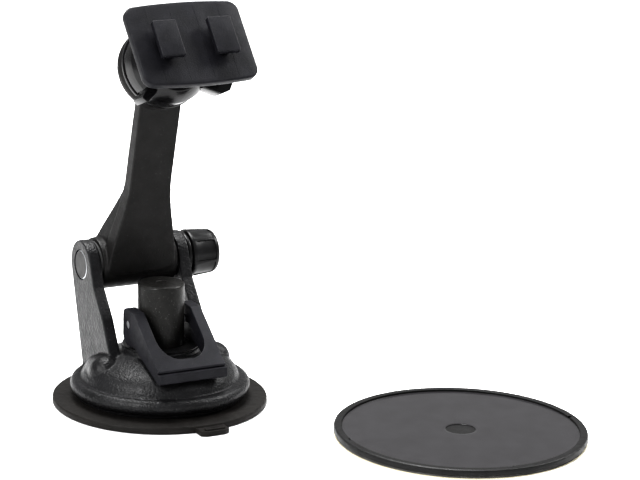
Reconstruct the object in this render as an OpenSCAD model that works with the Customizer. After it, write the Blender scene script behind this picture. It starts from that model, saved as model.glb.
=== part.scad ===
// Dashboard suction mount with a dual T-tab holder plate and a loose adhesive disc.
// Millimetres. +Z up from the suction face, -Y towards the lever, +X towards the clamp knob.

/* [Suction base] */
// Radius of the rubber suction membrane
membrane_r = 40; // [34:0.5:46]
// Thickness of the membrane's edge
membrane_t = 2.7; // [2:0.1:4]
// Outer radius of the rounded rim round the dome
rim_r = 33.5; // [30:0.5:36]
// Height of the dome's flat top
dome_h = 22; // [19:0.5:26]
// Width of the pull tab
tab_w = 11.4; // [8:0.2:16]

/* [Lever and post] */
// Radius of the centre post
post_r = 8.7; // [7:0.1:10]
// Height of the post's top above the suction face
post_top = 45.9; // [42:0.1:50]
// Height of the lever pin above the suction face
pin_z = 31; // [29:0.1:33]
// Radius of the lever pin
pin_r = 1.5; // [1:0.1:2]
// Half width of the lever across its ears
lever_hw = 13.5; // [12.5:0.1:15]
// Reach of the lever's front lip from the post's axis
lever_reach = 28.8; // [26:0.1:31]
// Drop of the post when the lever is fully open
post_drop = 3.2; // [2:0.1:4]
// Opening angle of the lever
lever_open = 80; // [60:1:85]

/* [Fork and arm] */
// Distance of the hinge axis behind the post's axis
hinge_y = 27.5; // [24:0.1:30]
// Height of the hinge axis above the suction face
hinge_z = 47.7; // [44:0.1:52]
// Gap between the fork's inner faces
fork_gap = 32; // [28:0.5:36]
// Thickness of each fork arm
fork_t = 4.5; // [3.5:0.1:6]
// Radius of each fork arm's rounded top
fork_eye_r = 9.3; // [8:0.1:11]
// Forward lean of the arm
arm_lean = 14; // [5:1:25]
// Distance from the hinge axis to the ball centre, along the arm
arm_len = 86.4; // [70:0.1:105]
// Radius of the arm's barrel
barrel_r = 9.8; // [8.5:0.1:11]
// Width of the arm's slim neck
neck_w = 16.6; // [14:0.2:20]
// Width of the arm's foot across the barrel
foot_w = 27.6; // [24:0.2:30]

/* [Head] */
// Radius of the ball
ball_r = 8.5; // [7:0.1:10]
// Upward pitch of the socket's axis
socket_pitch = 21; // [0:1:40]
// Upward pitch of the holder plate
plate_pitch = 39; // [20:1:50]
// Sideways turn of the holder plate towards the knob
plate_yaw = 2; // [-10:1:10]
// Radius of the ring nut's body
nut_r = 15.2; // [13:0.1:17]
// Number of narrow grip ribs on the ring nut
nut_ribs = 2; // [2:1:3]

/* [Holder plate] */
// Width of the holder plate
plate_w = 45.2; // [38:0.1:55]
// Height of the holder plate at its middle
plate_h = 32.9; // [26:0.1:38]
// Thickness of the holder plate
plate_t = 3; // [2:0.1:4]
// Width of each T-tab
ttab_w = 9.2; // [8:0.1:11]
// Height of each T-tab
ttab_h = 14.3; // [12:0.1:17]
// Distance between the T-tabs' centres
ttab_pitch = 21.8; // [18:0.1:26]

/* [Adhesive disc] */
// Radius of the adhesive disc
disc_r = 46; // [40:0.5:52]
// Width of the disc's raised rim
disc_rim_w = 2.9; // [2:0.1:5]
// Distance of the disc to the right of the mount
disc_x = 82.1; // [76:0.1:100]
// Distance of the disc in front of the mount
disc_y = 80.9; // [76:0.1:100]

/* [Hidden] */
$fn = 72;
run_gap = 0.06;
move_gap = 0.3;
shell_t = 2.4;
// dome section: a shoulder ring blended into a shallow cap
rim_tube_r = 2.8;
rim_z = 7.2;
dome_r = rim_r - 3.8;
shoulder_r = 9;
shoulder_x = dome_r - shoulder_r;
shoulder_z = 8;
cap_top = dome_h + 0.3;
cap_drop = (shoulder_x * shoulder_x + shoulder_z * shoulder_z - pow(cap_top - shoulder_r, 2))
    / (2 * (cap_top - shoulder_r - shoulder_z));
cap_r = cap_top + cap_drop;
cap_join = shoulder_x * (1 + shoulder_r / (cap_r - shoulder_r));
seat_z = membrane_t + 0.4;
collar_r = 14.7;
bore_r = post_r + run_gap;
// membrane and pull plate
tab_x = 1.3;
pull_r = 15.5;
pull_z = 5.3;
pull_t = 2;
stem_r = 6;
stem_top = 14;
stud_r = 3;
stud_top = 25;
hub_r = 18;
hub_z = pull_z + pull_t + 1.8;
hollow_r = membrane_r - 8;
wire_r = 0.75;
spring_r = post_r + wire_r + 0.5;
// cam plate and lever
cam_plate_t = 0.7;
cam_plate_top = dome_h + cam_plate_t;
cam_r0 = pin_z - cam_plate_top - move_gap;
cam_rate = post_drop / lever_open;
ear_in = post_r + 0.6;
ear_back = 4;
ear_top = pin_z + 5.9;
ear_front = 5.8;
lip_top = 19.7;
lip_low = 15.9;
slope_z = lip_top + 0.8;
slope_y = lever_reach - 1.8;
slot_end = lever_reach - 5.3;
slot_corner = 7.6;
lever_wall = 3;
// fork
fork_in = fork_gap / 2;
fork_out = fork_in + fork_t;
head_r = 5.6;
recess_r = 5.75;
recess_d = 2.4;
bolt_r = 2.5;
bolt_end = fork_out + 12;
foot_back = 25;
foot_front = 3.2;
foot_low = 7;
lobe_r = 6.3;
// arm
barrel_hw = fork_in - 1.1;
washer_t = 0.8;
washer_r = 8.6;
front_v = barrel_r + 0.35;
neck_v = 9.3;
neck_t0 = 6.4;
neck_t1 = 4.6;
// knob
knob_x0 = fork_out + 2.1;
knob_x1 = knob_x0 + 11.7;
knob_r0 = 9.2;
knob_r1 = 8.4;
knob_panels = 6;
panel_w = 7.8;
panel_d = 0.5;
collar_x0 = fork_out + 0.3;
collar_t = 1.4;
// head: ball centre in the side plane
ball_fwd = 10.9;
ball_y = hinge_y - arm_len * sin(arm_lean) - ball_fwd * cos(arm_lean);
ball_z = hinge_z + arm_len * cos(arm_lean) - ball_fwd * sin(arm_lean);
seat_gap = 0.1;
cup_r = 15;
thread_r = 12.4;
stalk_r = 3.5;
plate_off = 19.1;
plate_low = 3.1;
plate_bow = 1.1;
plate_corner = 4;
ttab_t = 2.2;
ttab_neck = 2.6;
screw_r = 1.2;
nut_s0 = -6.4;
nut_s1 = 7.2;
wing_r = 23.9;
wing_w = 8;
grip_r = 19.2;
grip_w = 2.8;
// disc
liner_t = 0.25;
pad_t = 0.75;
disc_z0 = liner_t + pad_t;
disc_top = disc_z0 + 2.4;
disc_floor = disc_top - 0.8;

black = [0.06, 0.06, 0.065];
rubber = [0.04, 0.04, 0.04];
steel = [0.62, 0.63, 0.65];

// ---- shared placing helpers ----

// Extrudes a side outline drawn as [y, z] from x0 over a width
module side_plate(x0, width) {
    translate([x0, 0, 0])
        rotate([90, 0, 90])
            linear_extrude(width)
                children();
}

// Cylinder along +X from x0, centred on the hinge axis
module hinge_rod(x0, length, radius) {
    translate([x0, hinge_y, hinge_z])
        rotate([0, 90, 0])
            cylinder(h = length, r = radius);
}

// Arm frame: origin on the hinge, +Z along the arm, -Y to its front
module arm_frame() {
    translate([0, hinge_y, hinge_z])
        rotate([arm_lean, 0, 0])
            children();
}

// Socket frame: origin at the ball centre, +Z out of the socket
module socket_frame() {
    translate([0, ball_y, ball_z])
        rotate([90 - socket_pitch, 0, 0])
            children();
}

// Plate frame: origin at the ball centre, +Z along the stalk
module plate_frame() {
    translate([0, ball_y, ball_z])
        rotate([0, 0, plate_yaw])
            rotate([90 - plate_pitch, 0, 0])
                children();
}

// ---- suction base ----

module suction_membrane() {
    color(rubber)
    union() {
        difference() {
            rotate_extrude()
                polygon([
                    [0, pull_z - 1.4], [pull_r, pull_z - 1.5], [hollow_r - 4, 0.5], [hollow_r, 0],
                    [membrane_r - 0.4, 0], [membrane_r, 0.4], [membrane_r, membrane_t - 0.5],
                    [membrane_r - 0.5, membrane_t], [rim_r - 1, seat_z], [rim_r - 7, seat_z],
                    [hub_r + 4, pull_z - 0.4], [hub_r, hub_z - 1.5], [hub_r - 1, hub_z], [0, hub_z]
                ]);
            translate([0, 0, pull_z - move_gap])
                cylinder(h = pull_t + 2 * move_gap, r = pull_r + move_gap);
            translate([0, 0, pull_z])
                cylinder(h = hub_z, r = stem_r + move_gap);
        }
        pull_tab();
    }
}

// Tongue on the membrane's front edge with a gripping ridge along its end
module pull_tab() {
    tongue_t = membrane_t - 0.6;
    reach = 5.2;
    corner = 1.6;
    translate([tab_x - tab_w / 2, -membrane_r - reach + corner, 0])
        cube([tab_w, reach, tongue_t]);
    translate([tab_x - tab_w / 2 + corner, -membrane_r - reach, 0])
        cube([tab_w - 2 * corner, reach, tongue_t]);
    for (side = [-1, 1])
        translate([tab_x + side * (tab_w / 2 - corner), -membrane_r - reach + corner, 0])
            cylinder(h = tongue_t, r = corner);
    translate([tab_x - tab_w / 2 + corner, -membrane_r - reach + 1.1, tongue_t])
        rotate([0, 90, 0])
            cylinder(h = tab_w - 2 * corner, r = 0.5, $fn = 24);
}

module pull_plate() {
    color(steel)
    translate([0, 0, pull_z])
        difference() {
            union() {
                cylinder(h = pull_t, r = pull_r);
                cylinder(h = stem_top - pull_z, r = stem_r);
            }
            translate([0, 0, -1])
                cylinder(h = stem_top, r = stud_r);
            for (i = [0:5])
                rotate([0, 0, 60 * i])
                    translate([pull_r - 4, 0, -1])
                        cylinder(h = pull_t + 2, r = 1.6, $fn = 36);
        }
}

module pull_stud() {
    color(steel)
    translate([0, 0, pull_z + 0.1])
        cylinder(h = stud_top - pull_z, r = stud_r);
}

// Closed wire coil round the stem, pushing the pull plate down
module release_spring() {
    coil_r = spring_r;
    low = hub_z + wire_r + 0.3;
    high = spring_seat - wire_r - 0.1;
    turns = 3.5;
    steps = 84;
    sides = 10;
    pts = [for (i = [0:steps])
        let (a = 360 * turns * i / steps, z = low + (high - low) * i / steps)
        for (k = [0:sides - 1])
            let (b = 360 * k / sides, r = coil_r + wire_r * cos(b))
            [r * cos(a), r * sin(a), z + wire_r * sin(b)]];
    skin = [for (i = [0:steps - 1]) for (k = [0:sides - 1])
        [i * sides + k, (i + 1) * sides + k, (i + 1) * sides + (k + 1) % sides, i * sides + (k + 1) % sides]];
    first = [[for (k = [0:sides - 1]) k]];
    last = [[for (k = [0:sides - 1]) steps * sides + sides - 1 - k]];
    color(steel)
    polyhedron(points = pts, faces = concat(skin, first, last), convexity = 6);
}

spring_seat = dome_h - 3.2;

// Half section of the dome, shrunk by an inset: a shallow cap running into a round shoulder
module dome_section(inset) {
    cap_steps = 8;
    turn_steps = 14;
    join_a = asin((cap_join - shoulder_x) / shoulder_r);
    cap = [for (i = [0:cap_steps])
        let (a = join_a * i / cap_steps)
        [(cap_r - inset) * sin(a), (cap_r - inset) * cos(a) - cap_drop]];
    turn = [for (i = [1:turn_steps])
        let (a = join_a + (90 - join_a) * i / turn_steps)
        [shoulder_x + (shoulder_r - inset) * sin(a), shoulder_z + (shoulder_r - inset) * cos(a)]];
    polygon(concat([[0, seat_z]], cap, turn, [[dome_r - inset, seat_z]]));
}

// Side outline of one fork arm, drawn as [y, z]
module fork_outline() {
    back = [hinge_y + fork_eye_r * 0.963, hinge_z - fork_eye_r * 0.268];
    front = [hinge_y - fork_eye_r * 0.94, hinge_z + fork_eye_r * 0.343];
    knee = [hinge_y - 12.4, hinge_z - 6];
    shin = [hinge_y - 20.4, hinge_z - 15.8];
    toe = [-foot_front + 3.4, dome_h - 2.2];
    translate([hinge_y, hinge_z])
        circle(r = fork_eye_r);
    polygon([back, [foot_back, foot_low], [-foot_front, foot_low], [-foot_front - 0.4, dome_h - 9], toe,
        shin, knee, front]);
}

// Rounded lobe that shields the outside of a fork arm's foot
module foot_lobe(side) {
    translate([side * (fork_out + 0.9), 3.6, 13])
        rotate([78, 0, side * 12]) {
            cylinder(h = 7, r = lobe_r, center = true);
            for (end = [-1, 1])
                translate([0, 0, end * 3.5])
                    sphere(r = lobe_r);
        }
}

module dome_housing() {
    color(black)
    difference() {
        union() {
            rotate_extrude()
                dome_section(0);
            rotate_extrude()
                translate([rim_r - rim_tube_r, rim_z])
                    circle(r = rim_tube_r, $fn = 48);
            translate([0, 0, seat_z])
                cylinder(h = rim_z - seat_z, r = rim_r - 2.2);
            cylinder(h = dome_h, r = collar_r);
            for (side = [-1, 1]) {
                side_plate(side > 0 ? fork_in : -fork_out, fork_t)
                    fork_outline();
                foot_lobe(side);
            }
        }
        // hollow under the dome
        rotate_extrude()
            difference() {
                dome_section(shell_t);
                translate([0, spring_seat])
                    square([dome_r, cap_top]);
            }
        // straight well that clears the spring
        translate([0, 0, hub_z])
            cylinder(h = spring_seat - hub_z, r = spring_r + 2 * wire_r);
        translate([0, 0, -1])
            cylinder(h = seat_z + 1.01, r = membrane_r);
        translate([0, 0, 0])
            cylinder(h = dome_h + 2, r = bore_r);
        // flat top above the collar
        translate([0, 0, dome_h])
            cylinder(h = 4, r = collar_r + 0.4);
        // clamp bolt hole and head recess
        hinge_rod(-fork_out - 2, 2 * fork_out + 4, bolt_r + 0.1);
        hinge_rod(-fork_out - 1, recess_d + 1, recess_r);
    }
}

module cam_plate() {
    color(steel)
    translate([0, 0, dome_h])
        difference() {
            cylinder(h = cam_plate_t, r = collar_r - 0.5);
            translate([0, 0, -1])
                cylinder(h = cam_plate_t + 2, r = post_r + 0.35);
        }
}

module lever_post() {
    chamfer = 0.5;
    color(black)
    difference() {
        union() {
            translate([0, 0, stem_top + 0.1])
                cylinder(h = post_top - stem_top - 0.1 - chamfer, r = post_r);
            translate([0, 0, post_top - chamfer])
                cylinder(h = chamfer, r1 = post_r, r2 = post_r - chamfer);
        }
        cylinder(h = stud_top + 1, r = stud_r);
        translate([-post_r - 1, 0, pin_z])
            rotate([0, 90, 0])
                cylinder(h = 2 * post_r + 2, r = pin_r + 0.02);
        // mould parting groove down each side
        for (side = [-1, 1])
            translate([side * post_r, 0, dome_h + 2])
                translate([-0.3, -0.3, 0])
                    cube([0.6, 0.6, post_top]);
    }
}

module lever_pin() {
    color(steel)
    translate([-lever_hw + 0.3, 0, pin_z])
        rotate([0, 90, 0])
            cylinder(h = 2 * lever_hw - 0.6, r = pin_r);
}

// Side outline of the lever, drawn as [y, z]; the cam keeps one gap to the flat plate as it turns
module lever_outline() {
    slip = cam_rate * 180 / PI;
    cam = [for (i = [0:12])
        let (a = i * 5, r = cam_r0 - cam_rate * a)
        [min(ear_back, r * sin(a) - slip * cos(a)), pin_z - r * cos(a) - slip * sin(a)]];
    corner = 2.6;
    union() {
        polygon(concat(
            [[-10.2, pin_z - cam_r0 + 0.35]],
            cam,
            [
                [ear_back, ear_top - corner], [ear_back - corner, ear_top], [-ear_front, ear_top - 0.3],
                [-slope_y, slope_z], [-slope_y - 0.3, lip_top], [-lever_reach, lip_top - 0.2],
                [-lever_reach, lip_low + 0.2], [-lever_reach + 0.6, lip_low - 0.2],
                [-slope_y + 0.8, lip_low - 0.1]
            ]));
        translate([ear_back - corner, ear_top - corner])
            circle(r = corner);
    }
}

// Side outline of the hollow behind the lever's top skin
module lever_hollow() {
    skin = lever_wall;
    polygon([
        [-ear_front + 2, ear_top - 4 - skin], [-slope_y + 2.4, slope_z - skin + 1.2],
        [-slope_y + 2.4, 0], [20, 0], [20, ear_top - 4 - skin]
    ]);
}

// Plan outline of the slot that straddles the post
module lever_slot() {
    translate([-ear_in, -slot_end + slot_corner])
        square([2 * ear_in, slot_end + 20]);
    translate([-ear_in + slot_corner, -slot_end])
        square([2 * (ear_in - slot_corner), 20]);
    for (side = [-1, 1])
        translate([side * (ear_in - slot_corner), -slot_end + slot_corner])
            circle(r = slot_corner);
}

module lever() {
    color(black)
    difference() {
        side_plate(-lever_hw, 2 * lever_hw)
            lever_outline();
        translate([0, 0, -10])
            linear_extrude(80)
                lever_slot();
        side_plate(-ear_in - 1.2, 2 * (ear_in + 1.2))
            lever_hollow();
        translate([-lever_hw - 1, 0, pin_z])
            rotate([0, 90, 0])
                cylinder(h = 2 * lever_hw + 2, r = pin_r + run_gap);
    }
}

// ---- fork, bolt and knob ----

module clamp_bolt() {
    color(steel)
    union() {
        hinge_rod(-fork_out + 0.15, recess_d - 0.15, head_r);
        hinge_rod(-fork_out + recess_d - 0.5, bolt_end + fork_out - recess_d + 0.5, bolt_r);
    }
}

module pivot_washers() {
    color(rubber)
    for (side = [-1, 1])
        difference() {
            hinge_rod(side > 0 ? barrel_hw : -barrel_hw - washer_t, washer_t, washer_r);
            hinge_rod(side * barrel_hw - 2, 4, bolt_r + run_gap);
        }
}

module clamp_collar() {
    color(steel)
    difference() {
        hinge_rod(collar_x0, collar_t, washer_r);
        hinge_rod(collar_x0 - 1, collar_t + 2, bolt_r + run_gap);
    }
}

module clamp_knob() {
    round_r = 1.4;
    span = knob_x1 - knob_x0;
    color(black)
    translate([knob_x0, hinge_y, hinge_z])
        rotate([0, 90, 0])
            difference() {
                union() {
                    cylinder(h = span - round_r, r1 = knob_r0, r2 = knob_r1);
                    rotate_extrude()
                        translate([knob_r1 - round_r, span - round_r])
                            circle(r = round_r, $fn = 48);
                    cylinder(h = span, r = knob_r1 - round_r);
                }
                // shallow grip panels between the ribs
                difference() {
                    intersection() {
                        translate([0, 0, 1.6])
                            cylinder(h = span - 3.6, r = knob_r0 + 2);
                        for (i = [0:knob_panels - 1])
                            rotate([0, 0, 360 / knob_panels * i + 12])
                                translate([2, -panel_w / 2, 0])
                                    cube([knob_r0 + 2, panel_w, span]);
                    }
                    cylinder(h = span, r1 = knob_r0 - panel_d, r2 = knob_r1 - panel_d);
                }
                translate([0, 0, -1])
                    cylinder(h = 6.5, r = 4.6, $fn = 6);
                cylinder(h = span - 1.1, r = bolt_r + 0.3);
            }
}

module knob_nut() {
    color([0.72, 0.57, 0.28])
    translate([knob_x0 + 0.1, hinge_y, hinge_z])
        rotate([0, 90, 0])
            difference() {
                cylinder(h = 5.2, r = 4.5, $fn = 6);
                translate([0, 0, -1])
                    cylinder(h = 8, r = bolt_r + run_gap);
            }
}

// ---- arm ----

function flare(w) =
    let (t = max(0, min(1, (37 - w) / 37)))
    neck_w / 2 + (foot_w - neck_w) / 2 * t * t * (3 - 2 * t);

// Front view outline of the arm's face panel, drawn as [x, along]: flared sides and a full round-cornered foot
module face_outline(top, inset) {
    steps = 12;
    low = 4.4;
    half = flare(low) - inset;
    sag = low + 0.1 - inset;
    corner = 0.55;
    right = [for (i = [0:steps]) let (w = low + (top - low) * i / steps) [flare(w) - inset, w]];
    left = [for (i = [steps:-1:0]) let (w = low + (top - low) * i / steps) [-flare(w) + inset, w]];
    under = [for (i = [1:2 * steps - 1])
        let (a = 90 * i / steps, c = -cos(a))
        [half * sign(c) * pow(abs(c), corner), low - sag * pow(sin(a), corner)]];
    polygon(concat(right, left, under));
}

// Block drawn in front view and extruded from depth v0 back over a depth
module face_block(v_front, depth, top, inset) {
    translate([0, -v_front + depth, 0])
        rotate([90, 0, 0])
            linear_extrude(depth)
                face_outline(top, inset);
}

module main_arm() {
    top = arm_len - 4;
    color(black)
    difference() {
        union() {
            hinge_rod(-barrel_hw, 2 * barrel_hw, barrel_r);
            arm_frame() {
                // face panel, thinner towards the head
                intersection() {
                    face_block(front_v, neck_t0, top, 0);
                    side_plate(-40, 80)
                        polygon([
                            [-front_v, -10], [-front_v, 4], [-neck_v, 40], [-neck_v, top],
                            [-neck_v + neck_t1, top], [-neck_v + neck_t0 - 0.4, 30], [-2, 0], [-2, -10]
                        ]);
                }
                // gusset from the neck to the back of the barrel
                intersection() {
                    face_block(front_v - 1, 2 * barrel_r, 37, 0.9);
                    side_plate(-40, 80)
                        polygon([
                            [-neck_v + 1, 0], [-neck_v + 1, 36], [-2.6, 33], [barrel_r * 0.8, barrel_r * 0.45],
                            [barrel_r * 0.7, 0]
                        ]);
                }
                // stiffening rib down the back
                side_plate(-2.5, 5)
                    polygon([
                        [-neck_v + 2, 20], [-neck_v + 2, top - 2], [-0.5, top - 6], [1.5, 26], [4, 20]
                    ]);
            }
            socket_cup();
        }
        socket_frame()
            sphere(r = ball_r + seat_gap);
        socket_frame()
            translate([0, 0, -2.2])
                cylinder(h = 20, r = ball_r + 2.6);
        hinge_rod(-40, 80, bolt_r + run_gap);
    }
}

// Bowl behind the ball with the threaded spigot for the ring nut
module socket_cup() {
    rim = 3.6;
    steps = 12;
    back = -14.8;
    edge = [for (i = [0:steps])
        let (a = 180 * i / steps)
        [cup_r - rim + rim * sin(a), back + rim - rim * cos(a)]];
    socket_frame()
        rotate_extrude()
            polygon(concat([[0, back]], edge, [[thread_r, back + 2 * rim], [thread_r, -0.8], [0, -0.8]]));
}

// ---- head ----

module pressure_ring() {
    color(black)
    socket_frame()
        difference() {
            translate([0, 0, 0.4])
                cylinder(h = 4.2, r = thread_r - 1.2);
            sphere(r = ball_r + seat_gap);
            translate([0, 0, 4])
                cylinder(h = 2, r1 = 7.3, r2 = 8.6);
        }
}

module ring_nut() {
    color(black)
    socket_frame()
        difference() {
            union() {
                translate([0, 0, nut_s0])
                    cylinder(h = 1.5, r = nut_r + 0.5);
                translate([0, 0, nut_s0 + 1.5])
                    cylinder(h = 6.4, r = nut_r);
                translate([0, 0, nut_s0 + 7.9])
                    cylinder(h = nut_s1 - nut_s0 - 7.9, r1 = nut_r, r2 = nut_r - 3.4);
                rotate([0, 0, -28])
                    nut_wing(wing_r, wing_w, -1.4, 6.7, 2.6);
                for (i = [0:nut_ribs - 1])
                    rotate([0, 0, 360 / nut_ribs * i - 135])
                        nut_wing(grip_r, grip_w, -3.4, 8.6, 0.5);
            }
            translate([0, 0, nut_s0 - 1])
                cylinder(h = 6.8 + 1, r = thread_r + run_gap);
            translate([0, 0, 0.3])
                cylinder(h = 4.4, r = thread_r - 1.1);
            translate([0, 0, 4.5])
                cylinder(h = 4, r1 = 8.8, r2 = 10.6);
        }
}

// One gripping wing of a given reach, width, height and corner cut, starting at a height
module nut_wing(reach, width, low, high, cut) {
    root = thread_r + 1.4;
    translate([0, 0, low])
        linear_extrude(high)
            polygon([
                [root, -width / 2 - 0.6], [reach - cut, -width / 2], [reach, -width / 2 + cut],
                [reach, width / 2 - cut], [reach - cut, width / 2], [root, width / 2 + 0.6]
            ]);
}

module ball() {
    color(black)
    socket_frame()
        sphere(r = ball_r);
}

module plate_stalk() {
    back = plate_off - plate_t / 2 - move_gap;
    color(black)
    plate_frame()
        difference() {
            union() {
                cylinder(h = back, r = stalk_r);
                translate([0, 0, back - 3])
                    cylinder(h = 3, r1 = stalk_r, r2 = 7);
            }
            sphere(r = ball_r + seat_gap);
            translate([0, 0, plate_off - 8.2])
                cylinder(h = 20, r = screw_r + run_gap, $fn = 36);
        }
}

module stud_screw() {
    color(steel)
    plate_frame() {
        translate([0, 0, plate_off - 8])
            cylinder(h = 8 + plate_t / 2 - 1.1, r = screw_r, $fn = 36);
    }
}

// Holder plate outline: straight ends, bowed long edges and rounded corners
module plate_outline() {
    half_w = plate_w / 2;
    half_h = plate_h / 2;
    side_h = half_h - plate_bow;
    bow_r = (half_w * half_w + plate_bow * plate_bow) / (2 * plate_bow);
    intersection() {
        translate([0, half_h - bow_r])
            circle(r = bow_r, $fn = 360);
        translate([0, -half_h + bow_r])
            circle(r = bow_r, $fn = 360);
        union() {
            square([plate_w - 2 * plate_corner, plate_h + 2], center = true);
            square([plate_w, 2 * side_h - 2 * plate_corner], center = true);
            for (sx = [-1, 1])
                for (sy = [-1, 1])
                    translate([sx * (half_w - plate_corner), sy * (side_h - plate_corner)])
                        circle(r = plate_corner);
        }
    }
}

module holder_plate() {
    face = plate_off + plate_t / 2;
    color(black)
    plate_frame()
        difference() {
            union() {
                translate([0, -plate_low, plate_off - plate_t / 2])
                    linear_extrude(plate_t)
                        plate_outline();
                for (side = [-1, 1])
                    translate([side * ttab_pitch / 2, -plate_low, face - 0.01])
                        t_tab();
            }
            // blind pocket for the stud's flange, open to the back
            translate([0, 0, plate_off - plate_t / 2 - 1])
                cylinder(h = 1 + plate_t - 1, r = screw_r, $fn = 36);
        }
}

// One T-tab: a narrower stem under a flat rectangular head
module t_tab() {
    stem_w = 4.6;
    stem_h = ttab_h - 3.4;
    translate([-stem_w / 2, -stem_h / 2, 0])
        cube([stem_w, stem_h, ttab_neck + 0.5]);
    translate([-ttab_w / 2, -ttab_h / 2, ttab_neck])
        cube([ttab_w, ttab_h, ttab_t]);
}

// ---- adhesive disc ----

module disc_at() {
    translate([disc_x, -disc_y, 0])
        children();
}

module disc_plate() {
    edge = 0.5;
    color(black)
    disc_at()
        difference() {
            union() {
                translate([0, 0, disc_z0])
                    cylinder(h = disc_top - disc_z0 - edge, r = disc_r);
                translate([0, 0, disc_top - edge])
                    cylinder(h = edge, r1 = disc_r, r2 = disc_r - edge);
            }
            translate([0, 0, disc_floor])
                cylinder(h = 2, r = disc_r - disc_rim_w);
            translate([0, 0, disc_floor - 0.3])
                cylinder(h = 2, r = 5.4);
            for (a = [205, 62, 286])
                rotate([0, 0, a])
                    translate([disc_r - disc_rim_w - 1, -0.8, disc_floor])
                        cube([1.9, 1.6, 2]);
        }
}

module disc_pad() {
    color([0.3, 0.3, 0.31])
    disc_at()
        translate([0, 0, liner_t])
            cylinder(h = pad_t, r = disc_r - 0.6);
}

module disc_liner() {
    color([0.86, 0.83, 0.72])
    disc_at()
        cylinder(h = liner_t, r = disc_r - 0.1);
}

suction_membrane();
pull_plate();
pull_stud();
release_spring();
dome_housing();
cam_plate();
lever_post();
lever_pin();
lever();
clamp_bolt();
main_arm();
pivot_washers();
clamp_collar();
clamp_knob();
knob_nut();
pressure_ring();
ring_nut();
ball();
plate_stalk();
stud_screw();
holder_plate();
disc_plate();
disc_pad();
disc_liner();
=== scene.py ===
"""Looks for the dashboard suction mount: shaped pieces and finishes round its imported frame."""

from __future__ import annotations

import logging
import math
from collections.abc import Sequence
from dataclasses import dataclass
from enum import Enum

import bmesh
import bpy
from mathutils import Matrix, Vector

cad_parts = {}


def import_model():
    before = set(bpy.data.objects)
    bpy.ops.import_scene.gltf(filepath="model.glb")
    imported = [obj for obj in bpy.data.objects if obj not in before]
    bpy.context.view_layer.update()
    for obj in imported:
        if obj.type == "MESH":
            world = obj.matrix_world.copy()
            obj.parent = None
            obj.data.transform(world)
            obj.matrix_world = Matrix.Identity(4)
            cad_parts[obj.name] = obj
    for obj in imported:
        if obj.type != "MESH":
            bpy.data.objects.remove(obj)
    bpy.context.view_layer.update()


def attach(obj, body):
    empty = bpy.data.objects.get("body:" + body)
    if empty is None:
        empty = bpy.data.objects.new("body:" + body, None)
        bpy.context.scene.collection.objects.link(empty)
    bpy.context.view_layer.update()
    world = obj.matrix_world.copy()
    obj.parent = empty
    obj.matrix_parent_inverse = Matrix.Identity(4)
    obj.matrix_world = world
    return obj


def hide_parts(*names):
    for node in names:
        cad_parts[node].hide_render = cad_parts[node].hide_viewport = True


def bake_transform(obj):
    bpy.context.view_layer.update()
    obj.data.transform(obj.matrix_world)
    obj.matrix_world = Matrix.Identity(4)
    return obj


LOG = logging.getLogger("mount")
MM = 0.001
TAU = 2 * math.pi

Point2 = tuple[float, float]


class Frame(Enum):
    """The drawing frames of the mount's sub-assemblies."""

    SIDE = "side"
    PIN = "pin"
    HINGE = "hinge"
    ARM = "arm"
    SOCKET = "socket"
    PLATE = "plate"
    DISC = "disc"


@dataclass(frozen=True)
class Layout:
    """Where the sub-assemblies stand, in millimetres and degrees."""

    hinge_y: float = 27.5
    hinge_z: float = 47.7
    arm_lean: float = 14.0
    arm_len: float = 86.4
    ball_fwd: float = 10.9
    socket_pitch: float = 21.0
    plate_pitch: float = 39.0
    plate_yaw: float = 2.0
    disc_x: float = 82.1
    disc_y: float = -80.9
    pin_z: float = 31.0

    def ball_centre(self) -> Vector:
        """The ball's centre in the base frame."""
        lean = math.radians(self.arm_lean)
        return Vector((
            0.0,
            self.hinge_y - self.arm_len * math.sin(lean) - self.ball_fwd * math.cos(lean),
            self.hinge_z + self.arm_len * math.cos(lean) - self.ball_fwd * math.sin(lean),
        ))

    def matrix(self, frame: Frame) -> Matrix:
        """The matrix that takes a drawing frame to the base frame.

        Args:
            frame: The drawing frame.

        Returns:
            A 4x4 matrix in millimetres.
        """
        hinge = Matrix.Translation((0.0, self.hinge_y, self.hinge_z))
        ball = Matrix.Translation(self.ball_centre())
        across = Matrix.Rotation(math.pi / 2, 4, "Y")
        if frame is Frame.SIDE:
            return Matrix(((0, 0, 1, 0), (1, 0, 0, 0), (0, 1, 0, 0), (0, 0, 0, 1)))
        if frame is Frame.PIN:
            return Matrix.Translation((0, 0, self.pin_z)) @ across
        if frame is Frame.HINGE:
            return hinge @ across
        if frame is Frame.ARM:
            return hinge @ Matrix.Rotation(math.radians(self.arm_lean), 4, "X")
        if frame is Frame.SOCKET:
            return ball @ Matrix.Rotation(math.radians(90 - self.socket_pitch), 4, "X")
        if frame is Frame.PLATE:
            yaw = Matrix.Rotation(math.radians(self.plate_yaw), 4, "Z")
            return ball @ yaw @ Matrix.Rotation(math.radians(90 - self.plate_pitch), 4, "X")
        return Matrix.Translation((self.disc_x, self.disc_y, 0.0))


LAYOUT = Layout()


# ---- finishes ----


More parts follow.
